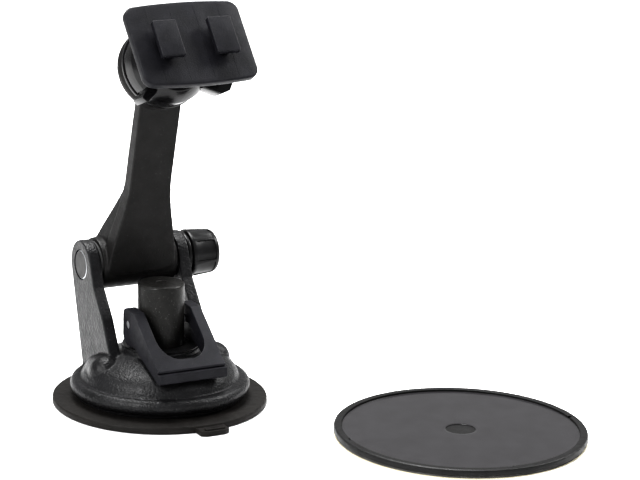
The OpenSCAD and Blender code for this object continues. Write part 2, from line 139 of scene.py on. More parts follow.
@dataclass(frozen=True)
class Finish:
    """A procedural surface: colour mottling, worn gloss and a fine moulded grain.

    Lengths are in millimetres. Everything that varies is read from Object coordinates.
    """

    name: str
    dark: tuple[float, float, float]
    light: tuple[float, float, float]
    rough_low: float
    rough_high: float
    grain: float = 0.35
    grain_strength: float = 0.25
    mottle: float = 6.0
    metallic: float = 0.0
    coat: float = 0.0
    specular: float = 0.5
    dust: float = 0.0

    def material(self) -> bpy.types.Material:
        """Builds the material once and returns it every later time."""
        made = bpy.data.materials.get(self.name)
        if made is not None:
            return made
        made = bpy.data.materials.new(self.name)
        made.use_nodes = True
        nodes, links = made.node_tree.nodes, made.node_tree.links
        nodes.clear()
        out = nodes.new("ShaderNodeOutputMaterial")
        shader = nodes.new("ShaderNodeBsdfPrincipled")
        links.new(shader.outputs["BSDF"], out.inputs["Surface"])
        shader.inputs["Metallic"].default_value = self.metallic
        shader.inputs["Coat Weight"].default_value = self.coat
        shader.inputs["Coat Roughness"].default_value = 0.08
        shader.inputs["Specular IOR Level"].default_value = self.specular
        place = nodes.new("ShaderNodeTexCoord").outputs["Object"]

        mottle = self._noise(nodes, links, place, self.mottle, 4.0)
        colour = self._ramp(nodes, links, mottle, ((0.3, self.dark), (0.72, self.light)))
        if self.dust > 0:
            colour = self._dusted(nodes, links, place, colour)
        links.new(colour, shader.inputs["Base Color"])

        worn = self._noise(nodes, links, place, self.mottle * 0.45, 5.0)
        rough = nodes.new("ShaderNodeMapRange")
        rough.inputs["From Min"].default_value = 0.3
        rough.inputs["From Max"].default_value = 0.7
        rough.inputs["To Min"].default_value = self.rough_low
        rough.inputs["To Max"].default_value = self.rough_high
        links.new(worn, rough.inputs["Value"])
        links.new(rough.outputs["Result"], shader.inputs["Roughness"])

        grain = self._noise(nodes, links, place, self.grain, 2.0)
        bump = nodes.new("ShaderNodeBump")
        bump.inputs["Strength"].default_value = self.grain_strength
        bump.inputs["Distance"].default_value = self.grain * MM * 0.35
        links.new(grain, bump.inputs["Height"])
        links.new(bump.outputs["Normal"], shader.inputs["Normal"])
        return made

    @staticmethod
    def _noise(
        nodes: bpy.types.Nodes,
        links: bpy.types.NodeLinks,
        place: bpy.types.NodeSocket,
        size: float,
        detail: float,
    ) -> bpy.types.NodeSocket:
        """Adds a noise whose features are about a size in millimetres.

        Args:
            nodes: The material's nodes.
            links: The material's links.
            place: The coordinate socket to read.
            size: Feature size in millimetres.
            detail: Octaves of the noise.

        Returns:
            The noise's value socket.
        """
        noise = nodes.new("ShaderNodeTexNoise")
        noise.inputs["Scale"].default_value = 1.0 / (size * MM)
        noise.inputs["Detail"].default_value = detail
        links.new(place, noise.inputs["Vector"])
        return noise.outputs["Fac"]

    @staticmethod
    def _ramp(
        nodes: bpy.types.Nodes,
        links: bpy.types.NodeLinks,
        value: bpy.types.NodeSocket,
        stops: Sequence[tuple[float, tuple[float, float, float]]],
    ) -> bpy.types.NodeSocket:
        """Adds a colour ramp over a value.

        Args:
            nodes: The material's nodes.
            links: The material's links.
            value: The value that picks the colour.
            stops: Position and colour of each of the two stops.

        Returns:
            The ramp's colour socket.
        """
        ramp = nodes.new("ShaderNodeValToRGB")
        for element, (position, colour) in zip(ramp.color_ramp.elements, stops):
            element.position = position
            element.color = (*colour, 1.0)
        links.new(value, ramp.inputs["Fac"])
        return ramp.outputs["Color"]

    def _dusted(
        self,
        nodes: bpy.types.Nodes,
        links: bpy.types.NodeLinks,
        place: bpy.types.NodeSocket,
        colour: bpy.types.NodeSocket,
    ) -> bpy.types.NodeSocket:
        """Lays sparse pale flecks over a colour.

        Args:
            nodes: The material's nodes.
            links: The material's links.
            place: The coordinate socket to read.
            colour: The colour under the flecks.

        Returns:
            The dusted colour socket.
        """
        fleck = self._noise(nodes, links, place, 0.55, 3.0)
        picked = nodes.new("ShaderNodeMapRange")
        picked.inputs["From Min"].default_value = 0.66
        picked.inputs["From Max"].default_value = 0.76
        picked.inputs["To Max"].default_value = self.dust
        links.new(fleck, picked.inputs["Value"])
        mix = nodes.new("ShaderNodeMix")
        mix.data_type = "RGBA"
        mix.inputs["B"].default_value = (0.35, 0.35, 0.34, 1.0)
        links.new(picked.outputs["Result"], mix.inputs["Factor"])
        links.new(colour, mix.inputs["A"])
        return mix.outputs["Result"]


HOUSING = Finish("satin_housing_plastic", (0.0075, 0.0075, 0.008), (0.013, 0.013, 0.014), 0.32, 0.46,
                 grain=0.8, grain_strength=1.0, dust=0.2, specular=0.26)
ARM_PLASTIC = Finish("matte_arm_plastic", (0.0085, 0.0082, 0.008), (0.013, 0.0126, 0.0125), 0.44, 0.56,
                     grain=0.42, grain_strength=0.6, dust=0.1, specular=0.2)
LEVER_PLASTIC = Finish("matte_lever_plastic", (0.01, 0.01, 0.0125), (0.0155, 0.0155, 0.019), 0.46, 0.58,
                       grain=0.35, grain_strength=0.5, dust=0.08, specular=0.22)
POST_PLASTIC = Finish("worn_post_plastic", (0.009, 0.0088, 0.0084), (0.018, 0.0175, 0.0165), 0.28, 0.44,
                      grain=0.6, grain_strength=0.5, dust=0.35, specular=0.24)
KNOB_PLASTIC = Finish("satin_knob_plastic", (0.007, 0.007, 0.0072), (0.012, 0.012, 0.0125), 0.28, 0.4,
                      grain=0.4, grain_strength=0.3, specular=0.26)
NUT_PLASTIC = Finish("gloss_nut_plastic", (0.004, 0.004, 0.0042), (0.007, 0.007, 0.0075), 0.17, 0.24,
                     grain=1.2, grain_strength=0.08, specular=0.32)
PLATE_PLASTIC = Finish("matte_plate_plastic", (0.008, 0.008, 0.0098), (0.0125, 0.0125, 0.0155), 0.4, 0.52,
                       grain=0.4, grain_strength=0.5, specular=0.2)
RUBBER = Finish("matte_membrane_rubber", (0.009, 0.0083, 0.0075), (0.0155, 0.014, 0.0128), 0.5, 0.64,
                grain=0.7, grain_strength=0.2, specular=0.18)
WASHER_RUBBER = Finish("washer_rubber", (0.01, 0.01, 0.01), (0.016, 0.016, 0.016), 0.6, 0.75)
STEEL = Finish("plated_steel", (0.42, 0.42, 0.43), (0.58, 0.58, 0.6), 0.26, 0.4,
               grain=0.5, grain_strength=0.12, metallic=1.0)
DARK_STEEL = Finish("black_oxide_steel", (0.012, 0.012, 0.012), (0.022, 0.021, 0.021), 0.3, 0.42,
                    grain=0.5, grain_strength=0.15, metallic=1.0)
BRASS = Finish("turned_brass", (0.55, 0.38, 0.14), (0.72, 0.52, 0.24), 0.24, 0.36, metallic=1.0)
DISC_GLOSS = Finish("gloss_disc_face", (0.024, 0.023, 0.0245), (0.03, 0.029, 0.031), 0.14, 0.2,
                    grain=2.0, grain_strength=0.02, coat=0.08, specular=0.25)
DISC_SATIN = Finish("satin_disc_rim", (0.008, 0.0078, 0.0078), (0.013, 0.0128, 0.0128), 0.36, 0.5,
                    grain=0.4, grain_strength=0.4, specular=0.22)
FOAM = Finish("foam_tape", (0.05, 0.05, 0.05), (0.1, 0.1, 0.1), 0.75, 0.9, grain=0.8, grain_strength=0.6)
PAPER = Finish("coated_liner_paper", (0.62, 0.57, 0.42), (0.75, 0.7, 0.55), 0.5, 0.62)


# ---- geometry node trees ----


class TreeBuilder:
    """Builds one geometry node tree with named inputs."""

    def __init__(self, name: str) -> None:
        """Starts an empty tree.

        Args:
            name: The tree's name.
        """
        self.tree = bpy.data.node_groups.new(name, "GeometryNodeTree")
        self.source = self.tree.nodes.new("NodeGroupInput")
        self.sink = self.tree.nodes.new("NodeGroupOutput")
        self.tree.interface.new_socket("Geometry", in_out="OUTPUT", socket_type="NodeSocketGeometry")

    def input(self, name: str, kind: str) -> bpy.types.NodeSocket:
        """Adds a named input and returns its socket inside the tree."""
        self.tree.interface.new_socket(name, in_out="INPUT", socket_type=kind)
        return self.source.outputs[name]

    def node(self, kind: str, **settings: object) -> bpy.types.Node:
        """Adds a node and sets its plain properties."""
        made = self.tree.nodes.new(kind)
        for key, value in settings.items():
            setattr(made, key, value)
        return made

    def link(self, start: bpy.types.NodeSocket, end: bpy.types.NodeSocket) -> None:
        """Joins two sockets."""
        self.tree.links.new(start, end)

    def math(self, operation: str, first: object, second: object) -> bpy.types.NodeSocket:
        """Adds a Math node on two sockets or numbers.

        Args:
            operation: The node's operation.
            first: A socket or a number.
            second: A socket or a number.

        Returns:
            The result socket.
        """
        made = self.node("ShaderNodeMath", operation=operation)
        for slot, value in enumerate((first, second)):
            if isinstance(value, bpy.types.NodeSocket):
                self.link(value, made.inputs[slot])
            else:
                made.inputs[slot].default_value = float(value)
        return made.outputs[0]

    def finish(self, geometry: bpy.types.NodeSocket) -> bpy.types.NodeTree:
        """Ends the tree in Realize Instances and Set Material.

        Args:
            geometry: The geometry so far.

        Returns:
            The finished tree.
        """
        finish = self.input("Finish", "NodeSocketMaterial")
        real = self.node("GeometryNodeRealizeInstances")
        paint = self.node("GeometryNodeSetMaterial")
        self.link(geometry, real.inputs["Geometry"])
        self.link(real.outputs["Geometry"], paint.inputs["Geometry"])
        self.link(finish, paint.inputs["Material"])
        self.link(paint.outputs["Geometry"], self.sink.inputs["Geometry"])
        return self.tree


def revolve_tree() -> bpy.types.NodeTree:
    """The tree that turns a profile drawn in the XZ plane about the Z axis."""
    known = bpy.data.node_groups.get("revolved_profile")
    if known is not None:
        return known
    t = TreeBuilder("revolved_profile")
    profile = t.input("Profile", "NodeSocketGeometry")
    steps = t.input("Steps", "NodeSocketInt")
    size = t.node("GeometryNodeAttributeDomainSize")
    t.link(profile, size.inputs["Geometry"])
    around = t.math("ADD", steps, 1)
    grid = t.node("GeometryNodeMeshGrid")
    t.link(size.outputs["Point Count"], grid.inputs["Vertices X"])
    t.link(around, grid.inputs["Vertices Y"])
    index = t.node("GeometryNodeInputIndex").outputs["Index"]
    row = t.math("FLOOR", t.math("DIVIDE", index, around), 0)
    turn = t.math("MODULO", index, around)
    angle = t.math("MULTIPLY", t.math("DIVIDE", t.math("MODULO", turn, steps), steps), TAU)
    sample = t.node("GeometryNodeSampleIndex", data_type="FLOAT_VECTOR")
    t.link(profile, sample.inputs["Geometry"])
    t.link(t.node("GeometryNodeInputPosition").outputs["Position"], sample.inputs["Value"])
    t.link(row, sample.inputs["Index"])
    spun = t.node("ShaderNodeVectorRotate", rotation_type="Z_AXIS")
    t.link(sample.outputs["Value"], spun.inputs["Vector"])
    t.link(angle, spun.inputs["Angle"])
    moved = t.node("GeometryNodeSetPosition")
    t.link(grid.outputs["Mesh"], moved.inputs["Geometry"])
    t.link(spun.outputs["Vector"], moved.inputs["Position"])
    merged = t.node("GeometryNodeMergeByDistance")
    merged.inputs["Distance"].default_value = 1e-4
    t.link(moved.outputs["Geometry"], merged.inputs["Geometry"])
    return t.finish(merged.outputs["Geometry"])


def ring_tree() -> bpy.types.NodeTree:
    """The tree that sets copies of a piece evenly round the Z axis."""
    known = bpy.data.node_groups.get("ring_of_copies")
    if known is not None:
        return known
    t = TreeBuilder("ring_of_copies")
    piece = t.input("Piece", "NodeSocketGeometry")
    count = t.input("Count", "NodeSocketInt")
    start = t.input("Start Angle", "NodeSocketFloat")
    points = t.node("GeometryNodePoints")
    t.link(count, points.inputs["Count"])
    index = t.node("GeometryNodeInputIndex").outputs["Index"]
    turn = t.math("ADD", t.math("MULTIPLY", t.math("DIVIDE", index, count), TAU), start)
    angles = t.node("ShaderNodeCombineXYZ")
    t.link(turn, angles.inputs["Z"])
    euler = t.node("FunctionNodeEulerToRotation")
    t.link(angles.outputs["Vector"], euler.inputs["Euler"])
    copies = t.node("GeometryNodeInstanceOnPoints")
    t.link(points.outputs[0], copies.inputs["Points"])
    t.link(piece, copies.inputs["Instance"])
    t.link(euler.outputs["Rotation"], copies.inputs["Rotation"])
    return t.finish(copies.outputs["Instances"])


def line_tree() -> bpy.types.NodeTree:
    """The tree that sets copies of a piece in a row along the X axis."""
    known = bpy.data.node_groups.get("row_of_copies")
    if known is not None:
        return known
    t = TreeBuilder("row_of_copies")
    piece = t.input("Piece", "NodeSocketGeometry")
    count = t.input("Count", "NodeSocketInt")
    spacing = t.input("Spacing", "NodeSocketFloat")
    step = t.node("ShaderNodeCombineXYZ")
    t.link(spacing, step.inputs["X"])
    points = t.node("GeometryNodeMeshLine")
    t.link(count, points.inputs["Count"])
    t.link(step.outputs["Vector"], points.inputs["Offset"])
    copies = t.node("GeometryNodeInstanceOnPoints")
    t.link(points.outputs["Mesh"], copies.inputs["Points"])
    t.link(piece, copies.inputs["Instance"])
    return t.finish(copies.outputs["Instances"])


def coil_tree() -> bpy.types.NodeTree:
    """The tree that winds a round wire into a coil spring."""
    known = bpy.data.node_groups.get("coil_spring")
    if known is not None:
        return known
    t = TreeBuilder("coil_spring")
    turns = t.input("Turns", "NodeSocketFloat")
    radius = t.input("Coil Radius", "NodeSocketFloat")
    height = t.input("Height", "NodeSocketFloat")
    wire = t.input("Wire Radius", "NodeSocketFloat")
    spiral = t.node("GeometryNodeCurveSpiral")
    spiral.inputs["Resolution"].default_value = 48
    t.link(turns, spiral.inputs["Rotations"])
    t.link(radius, spiral.inputs["Start Radius"])
    t.link(radius, spiral.inputs["End Radius"])
    t.link(height, spiral.inputs["Height"])
    section = t.node("GeometryNodeCurvePrimitiveCircle")
    section.inputs["Resolution"].default_value = 12
    t.link(wire, section.inputs["Radius"])
    swept = t.node("GeometryNodeCurveToMesh")
    t.link(spiral.outputs["Curve"], swept.inputs["Curve"])
    t.link(section.outputs["Curve"], swept.inputs["Profile Curve"])
    swept.inputs["Fill Caps"].default_value = True
    return t.finish(swept.outputs["Mesh"])


# ---- solids ----


class Solid:
    """A closed mesh in millimetres that can be joined, cut and rounded before it becomes a piece."""

    def __init__(self, mesh: bpy.types.Mesh) -> None:
        """Wraps a mesh drawn in millimetres."""
        self.mesh = mesh

    @classmethod
    def from_faces(cls, points: Sequence[Sequence[float]], faces: Sequence[Sequence[int]]) -> Solid:
        """A solid from points and faces, with its normals made to face outwards."""
        mesh = bpy.data.meshes.new("solid")
        mesh.from_pydata([tuple(p) for p in points], [], [tuple(f) for f in faces])
        return cls(mesh).outward()

    @classmethod
    def prism(cls, outline: Sequence[Point2], low: float, high: float) -> Solid:
        """A straight prism over an outline.

        Args:
            outline: The outline's corners in order.
            low: Height of its lower end.
            high: Height of its upper end.

        Returns:
            The closed prism.
        """
        count = len(outline)
        points = [(x, y, z) for z in (low, high) for x, y in outline]
        walls = [(i, (i + 1) % count, count + (i + 1) % count, count + i) for i in range(count)]
        return cls.from_faces(points, [tuple(range(count)), tuple(range(count, 2 * count)), *walls])

    @classmethod
    def revolve(cls, profile: Sequence[Point2], steps: int = 96) -> Solid:
        """Turns a profile of (radius, height) about the Z axis.

        Args:
            profile: The section, from axis to axis, or a closed ring section.
            steps: Facets round the axis.

        Returns:
            The closed solid of revolution.
        """
        ring = list(profile)
        if ring[0][0] > 1e-6:
            ring.append(ring[0])
        mesh = bpy.data.meshes.new("profile")
        mesh.from_pydata([(r, 0.0, z) for r, z in ring], [(i, i + 1) for i in range(len(ring) - 1)], [])
        return cls.grown(mesh, revolve_tree(), Steps=steps).outward()

    @classmethod
    def drum(cls, radius: float, low: float, high: float, steps: int = 96) -> Solid:
        """A plain cylinder about the Z axis.

        Args:
            radius: Its radius.
            low: Height of its lower end.
            high: Height of its upper end.
            steps: Facets round the axis.

        Returns:
            The closed cylinder.
        """
        return cls.revolve([(0, low), (radius, low), (radius, high), (0, high)], steps)

    @classmethod
    def block(cls, x_span: Point2, y_span: Point2, z_span: Point2) -> Solid:
        """A rectangular block.

        Args:
            x_span: Its lower and upper X.
            y_span: Its lower and upper Y.
            z_span: Its lower and upper Z.

        Returns:
            The closed block.
        """
        (left, right), (near, far) = x_span, y_span
        return cls.prism([(left, near), (right, near), (right, far), (left, far)], *z_span)

    @classmethod
    def grown(cls, mesh: bpy.types.Mesh, tree: bpy.types.NodeTree, **inputs: object) -> Solid:
        """Runs a geometry node tree on a mesh and keeps the result as a plain mesh.

        Args:
            mesh: The mesh that the tree starts from.
            tree: The tree.
            **inputs: Values for its named inputs, with underscores for spaces.

        Returns:
            The realized result.
        """
        obj = bpy.data.objects.new("grown", mesh)
        bpy.context.scene.collection.objects.link(obj)
        modifier = obj.modifiers.new("grow", "NODES")
        modifier.node_group = tree
        for item in tree.interface.items_tree:
            key = item.name.replace(" ", "_")
            if item.in_out == "INPUT" and key in inputs:
                modifier[item.identifier] = inputs[key]
        return cls(cls._evaluated(obj))

    @staticmethod
    def _evaluated(obj: bpy.types.Object) -> bpy.types.Mesh:
        """The evaluated mesh of a working object, which is then removed."""
        bpy.context.view_layer.update()
        graph = bpy.context.evaluated_depsgraph_get()
        mesh = bpy.data.meshes.new_from_object(obj.evaluated_get(graph))
        bpy.data.objects.remove(obj)
        return mesh

    def _working(self) -> bpy.types.Object:
        """A linked working object for this mesh."""
        obj = bpy.data.objects.new("working", self.mesh)
        bpy.context.scene.collection.objects.link(obj)
        return obj

    def outward(self) -> Solid:
        """Merges doubles and makes every face point outwards."""
        bm = bmesh.new()
        bm.from_mesh(self.mesh)
        bmesh.ops.remove_doubles(bm, verts=bm.verts, dist=1e-4)
        bmesh.ops.dissolve_degenerate(bm, edges=bm.edges, dist=1e-5)
        bmesh.ops.recalc_face_normals(bm, faces=bm.faces)
        bm.to_mesh(self.mesh)
        bm.free()
        return self

    def moved(self, matrix: Matrix) -> Solid:
        """The same solid in another place."""
        mesh = self.mesh.copy()
        mesh.transform(matrix)
        return Solid(mesh)

    def placed(self, frame: Frame) -> Solid:
        """The same solid taken from a drawing frame to the base frame."""
        return self.moved(LAYOUT.matrix(frame))

    def joined(self, *others: Solid) -> Solid:
        """All the solids' faces in one mesh, not yet merged."""
        bm = bmesh.new()
        for solid in (self, *others):
            bm.from_mesh(solid.mesh)
        mesh = bpy.data.meshes.new("joined")
        bm.to_mesh(mesh)
        bm.free()
        return Solid(mesh)

    def _boolean(self, operation: str, others: Sequence[Solid]) -> Solid:
        """Runs exact booleans one after another."""
        result = self
        for other in others:
            obj, tool = result._working(), other._working()
            cut = obj.modifiers.new("cut", "BOOLEAN")
            cut.operation, cut.object, cut.solver = operation, tool, "EXACT"
            result = Solid(self._evaluated(obj))
            bpy.data.objects.remove(tool)
        return result

    def minus(self, *others: Solid) -> Solid:
        """This solid with others cut away."""
        return self._boolean("DIFFERENCE", others)

    def plus(self, *others: Solid) -> Solid:
        """This solid merged with others."""
        return self._boolean("UNION", others)

    def within(self, other: Solid) -> Solid:
        """The part of this solid inside another."""
        return self._boolean("INTERSECT", [other])

    def moulded(self, cell: float, passes: int) -> Solid:
        """Merges overlapping solids into one skin with soft edges and fillets, as moulding leaves them.

        Args:
            cell: Cell size of the new skin.
            passes: Smoothing passes.

        Returns:
            The softened solid.
        """
        obj = self._working()
        skin = obj.modifiers.new("skin", "REMESH")
        skin.mode, skin.voxel_size, skin.adaptivity = "VOXEL", cell, 0.0
        soften = obj.modifiers.new("soften", "SMOOTH")
        soften.factor, soften.iterations = 0.5, passes
        return Solid(self._evaluated(obj))

    def bevelled(self, width: float, segments: int = 3, angle: float = 35.0) -> Solid:
        """Rounds the sharp edges.

        Args:
            width: Bevel width.
            segments: Facets across a bevel.
            angle: Edges sharper than this many degrees are rounded.

        Returns:
            The rounded solid.
        """
        obj = self._working()
        bevel = obj.modifiers.new("bevel", "BEVEL")
        bevel.width, bevel.segments, bevel.limit_method = width, segments, "ANGLE"
        bevel.angle_limit = math.radians(angle)
        bevel.use_clamp_overlap = True
        return Solid(self._evaluated(obj))

    def piece(self, name: str, finish: Finish, sharp: float = 32.0) -> bpy.types.Object:
        """Turns the solid into a finished piece in metres.

        Args:
            name: The piece's name.
            finish: Its finish.
            sharp: Edges sharper than this many degrees stay crisp.

        Returns:
            The piece, with its place in its mesh.
        """
        mesh = self.mesh.copy()
        mesh.transform(Matrix.Scale(MM, 4))
        mesh.name = name
        mesh.materials.clear()
        mesh.materials.append(finish.material())
        mesh.polygons.foreach_set("material_index", [0] * len(mesh.polygons))
        mesh.polygons.foreach_set("use_smooth", [True] * len(mesh.polygons))
        mesh.set_sharp_from_angle(angle=math.radians(sharp))
        mesh.update()
        obj = bpy.data.objects.new(name, mesh)
        bpy.context.scene.collection.objects.link(obj)
        LOG.info("%s: %d faces", name, len(mesh.polygons))
        return obj


def arc(centre: Point2, radius: float, start: float, end: float, steps: int) -> list[Point2]:
    """Points along an arc.

    Args:
        centre: The arc's centre.
        radius: Its radius.
        start: First angle in degrees.
        end: Last angle in degrees.
        steps: Number of segments.

    Returns:
        The points in order.
    """
    angles = [math.radians(start + (end - start) * i / steps) for i in range(steps + 1)]
    return [(centre[0] + radius * math.cos(a), centre[1] + radius * math.sin(a)) for a in angles]


def rounded_corners(corners: Sequence[tuple[float, float, float]], steps: int = 6) -> list[Point2]:
    """Rounds the corners of a polygon.

    Args:
        corners: (x, y, radius) of each corner in order.
        steps: Segments in each rounded corner.

    Returns:
        The rounded outline.
    """
    made: list[Point2] = []
    count = len(corners)
    for i, (x, y, radius) in enumerate(corners):
        here = Vector((x, y))
        back = (Vector(corners[i - 1][:2]) - here).normalized()
        ahead = (Vector(corners[(i + 1) % count][:2]) - here).normalized()
        if radius <= 0:
            made.append((x, y))
            continue
        half = back.angle(ahead) / 2
        reach = radius / math.tan(half)
        centre = here + (back + ahead).normalized() * (radius / math.sin(half))
        first, last = here + back * reach - centre, here + ahead * reach - centre
        turn = first.angle_signed(last)
        for k in range(steps + 1):
            spun = Matrix.Rotation(-turn * k / steps, 2) @ first
            made.append((centre.x + spun.x, centre.y + spun.y))
    return made


def dress(node: str, finish: Finish) -> None:
    """Gives a CAD node's own mesh a finish."""
    obj = bpy.data.objects[node]
    obj.data.materials.clear()
    obj.data.materials.append(finish.material())


# ---- sub-assemblies ----


@dataclass
class SuctionBase:
    """The rubber membrane, the dome with its fork, the wear plate and the release spring."""

    membrane_r: float = 40.0
    membrane_t: float = 2.7
    rim_r: float = 33.5
    rim_z: float = 7.2
    rim_tube: float = 2.8
    dome_h: float = 22.0
    shoulder_r: float = 9.0
    shoulder_z: float = 8.0
    shell: float = 2.4
    seat_z: float = 3.1
    post_bore: float = 8.76
    collar_r: float = 14.7
    fork_gap: float = 32.0
    fork_t: float = 4.5
    fork_eye_r: float = 9.3
    recess_r: float = 5.75
    recess_d: float = 2.4
    lobe_r: float = 6.3
    bolt_r: float = 2.5
    tab_w: float = 11.4
    tab_x: float = 1.3
    tab_reach: float = 5.2
    skirt_r: float = 31.3
    spring_turns: float = 3.5
    spring_r: float = 9.95
    spring_low: float = 10.15
    spring_high: float = 17.95
    wire_r: float = 0.75

    def membrane(self) -> None:
        """The rubber suction membrane with its pull tab."""
        r, t = self.membrane_r, self.membrane_t
        profile = [
            (0.0, 3.9), (15.5, 3.8), (18.0, 3.2), (27.0, 0.7), (30.0, 0.12), (32.0, 0.0), (r - 0.9, 0.0),
            (r - 0.4, 0.12), (r - 0.1, 0.4), (r, 0.85), (r, t - 0.8), (r - 0.12, t - 0.4), (r - 0.4, t - 0.1),
            (r - 1.0, t), (35.0, t + 0.15), (32.5, 3.05), (26.5, 3.1), (24.2, 3.4), (22.0, 4.9), (18.4, 7.6),
            (17.6, 8.7), (16.8, 9.1), (6.4, 9.1), (6.4, 7.6), (15.8, 7.6), (15.8, 5.0), (0.0, 5.0),
        ]
        disc = Solid.revolve(profile, 160)
        half, front = self.tab_w / 2, -r - self.tab_reach
        tongue = Solid.prism(
            rounded_corners([
                (-half, -r + 3, 0), (-half, front + 1.2, 0), (-half + 2.2, front, 0.8),
                (half - 2.0, front, 0.8), (half, front + 1.0, 0.9), (half, -r + 3, 0),
            ]),
            0.15, t - 0.7,
        ).bevelled(0.3)
        ridge = Solid.prism(
            rounded_corners([
                (-half + 2.0, front + 1.1, 0.4), (half - 1.6, front + 0.9, 0.4),
                (half - 1.4, front + 2.3, 0.4), (0.0, front + 3.0, 2.0), (-half + 1.8, front + 2.4, 0.4),
            ]),
            t - 1.0, t - 0.1,
        ).bevelled(0.25)
        shift = Matrix.Translation((self.tab_x, 0, 0))
        skin = disc.plus(tongue.moved(shift), ridge.moved(shift)).piece("rubber_membrane", RUBBER)
        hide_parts("suction_membrane")
        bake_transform(skin)

    def spring(self) -> None:
        """The coil spring between the dome and the pull plate."""
        seed = bpy.data.meshes.new("spring_seed")
        coil = Solid.grown(
            seed, coil_tree(), Turns=self.spring_turns, Coil_Radius=self.spring_r,
            Height=self.spring_high - self.spring_low, Wire_Radius=self.wire_r,
        )
        place = Matrix.Translation((0, 0, self.spring_low))
        piece = coil.outward().moved(place).piece("coil_spring", STEEL)
        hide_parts("release_spring")
        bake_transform(piece)

    def dome_section(self, inset: float, top: float, low: float) -> list[Point2]:
        """The dome's half section: a shallow cap running into a round shoulder.

        Args:
            inset: How far the section is shrunk.
            top: Height that the section is cut off at.
            low: Height of its lower end.

        Returns:
            Points from the axis over the shoulder and back to the axis.
        """
        steps = 16
        dome_r = self.rim_r - 3.8
        sx = dome_r - self.shoulder_r
        cap_top = self.dome_h + 0.3
        drop = (sx * sx + self.shoulder_z ** 2 - (cap_top - self.shoulder_r) ** 2) / (
            2 * (cap_top - self.shoulder_r - self.shoulder_z)
        )
        cap_r = cap_top + drop
        join = math.asin(sx / (cap_r - self.shoulder_r))
        cap_in, turn_in = cap_r - inset, self.shoulder_r - inset
        leans = [join * i / steps for i in range(steps + 1)]
        bends = [join + (math.pi / 2 - join) * i / steps for i in range(1, steps + 1)]
        cap = [(cap_in * math.sin(a), cap_in * math.cos(a) - drop) for a in leans]
        turn = [(sx + turn_in * math.sin(a), self.shoulder_z + turn_in * math.cos(a)) for a in bends]
        points = [(r, min(z, top)) for r, z in cap + turn]
        return [(0.0, low), (0.0, points[0][1]), *points[1:], (dome_r - inset, low)]

    def fork_outline(self) -> list[Point2]:
        """One fork arm's side outline, drawn as (y, z), with its round top."""
        y, z, r = LAYOUT.hinge_y, LAYOUT.hinge_z, self.fork_eye_r
        top = arc((y, z), r, -15.6, 160.0, 40)
        return [
            (25.0, 7.0), *top, (y - 12.4, z - 6.0), (y - 20.4, z - 15.8), (0.2, self.dome_h - 2.2),
            (-3.6, self.dome_h - 9.0), (-3.2, 7.0),
        ]

    def foot_lobe(self, side: int) -> Solid:
        """The rounded lobe that shields the outside of a fork arm's foot.

        Args:
            side: -1 for the left, 1 for the right.

        Returns:
            A capsule in the base frame.
        """
        radius, half = self.lobe_r, 3.5
        profile = [
            (0.0, -half - radius), *arc((0.0, -half), radius, -80, 0, 8),
            *arc((0.0, half), radius, 0, 80, 8), (0.0, half + radius),
        ]
        turn = Matrix.Rotation(math.radians(side * 12), 4, "Z") @ Matrix.Rotation(math.radians(78), 4, "X")
        centre = Vector((side * (self.fork_gap / 2 + self.fork_t + 0.9), 3.6, 13.0))
        return Solid.revolve(profile, 40).moved(Matrix.Translation(centre) @ turn)

    def housing(self) -> None:
        """The moulded dome, its rim, the fork and the lobes at its feet."""
        inner, outer = self.fork_gap / 2, self.fork_gap / 2 + self.fork_t
        dome = Solid.revolve(self.dome_section(0.0, 99.0, self.seat_z), 128)
        rim = Solid.revolve(arc((self.rim_r - self.rim_tube, self.rim_z), self.rim_tube, 0, 345, 23), 128)
        skirt = Solid.drum(self.skirt_r, self.seat_z, self.rim_z, 128)
        collar = Solid.drum(self.collar_r, 5, self.dome_h)
        outline = self.fork_outline()
        forks = [
            Solid.prism(outline, inner, outer).placed(Frame.SIDE),
            Solid.prism(outline, -outer, -inner).placed(Frame.SIDE),
        ]
        lobes = [self.foot_lobe(-1), self.foot_lobe(1)]
        skin = dome.joined(rim, skirt, collar, *forks, *lobes).moulded(0.42, 3)
        hollow = Solid.revolve(self.dome_section(self.shell, self.dome_h - 3.2, self.seat_z - 1.0), 96)
        under = Solid.drum(self.membrane_r + 1, -2, self.seat_z, 64)
        bore = Solid.drum(self.post_bore, -2, 30)
        # Starts just under the collar's top, because two faces in one plane cut badly.
        flat = Solid.drum(self.collar_r + 0.4, self.dome_h - 0.02, 34)
        hole = Solid.drum(self.bolt_r + 0.1, -30, 30, 48).placed(Frame.HINGE)
        recess = Solid.drum(self.recess_r, -30, self.recess_d - outer, 64).placed(Frame.HINGE)
        shell = skin.minus(under, flat, hollow, bore, hole, recess)
        piece = shell.piece("dome_and_fork", HOUSING, 26.0)
        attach(piece, "base")
        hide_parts("dome_housing")

    def bolt(self) -> None:
        """The clamp bolt with its flat round head let into the left fork arm, worn bright at its edge."""
        outer = self.fork_gap / 2 + self.fork_t
        seat, face = self.recess_d - outer, 0.15 - outer
        shank = Solid.revolve([
            (0, face), (5.1, face), (5.6, face + 0.35), (5.6, seat), (self.bolt_r, seat),
            (self.bolt_r, outer + 11.6), (self.bolt_r - 0.4, outer + 12), (0, outer + 12)], 64)
        piece = shank.placed(Frame.HINGE).piece("clamp_bolt_and_head", DARK_STEEL, 20.0)
        piece.data.materials.append(STEEL.material())
        for face_ring in piece.data.polygons:
            if 0.1 < abs(face_ring.normal.x) < 0.95 and face_ring.center.x < 0:
                face_ring.material_index = 1
        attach(piece, "base")
        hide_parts("clamp_bolt")

    def build(self) -> None:
        """Builds every piece of the base."""
        self.membrane()
        self.spring()
        self.housing()
        self.bolt()
        dress("cam_plate", KNOB_PLASTIC)


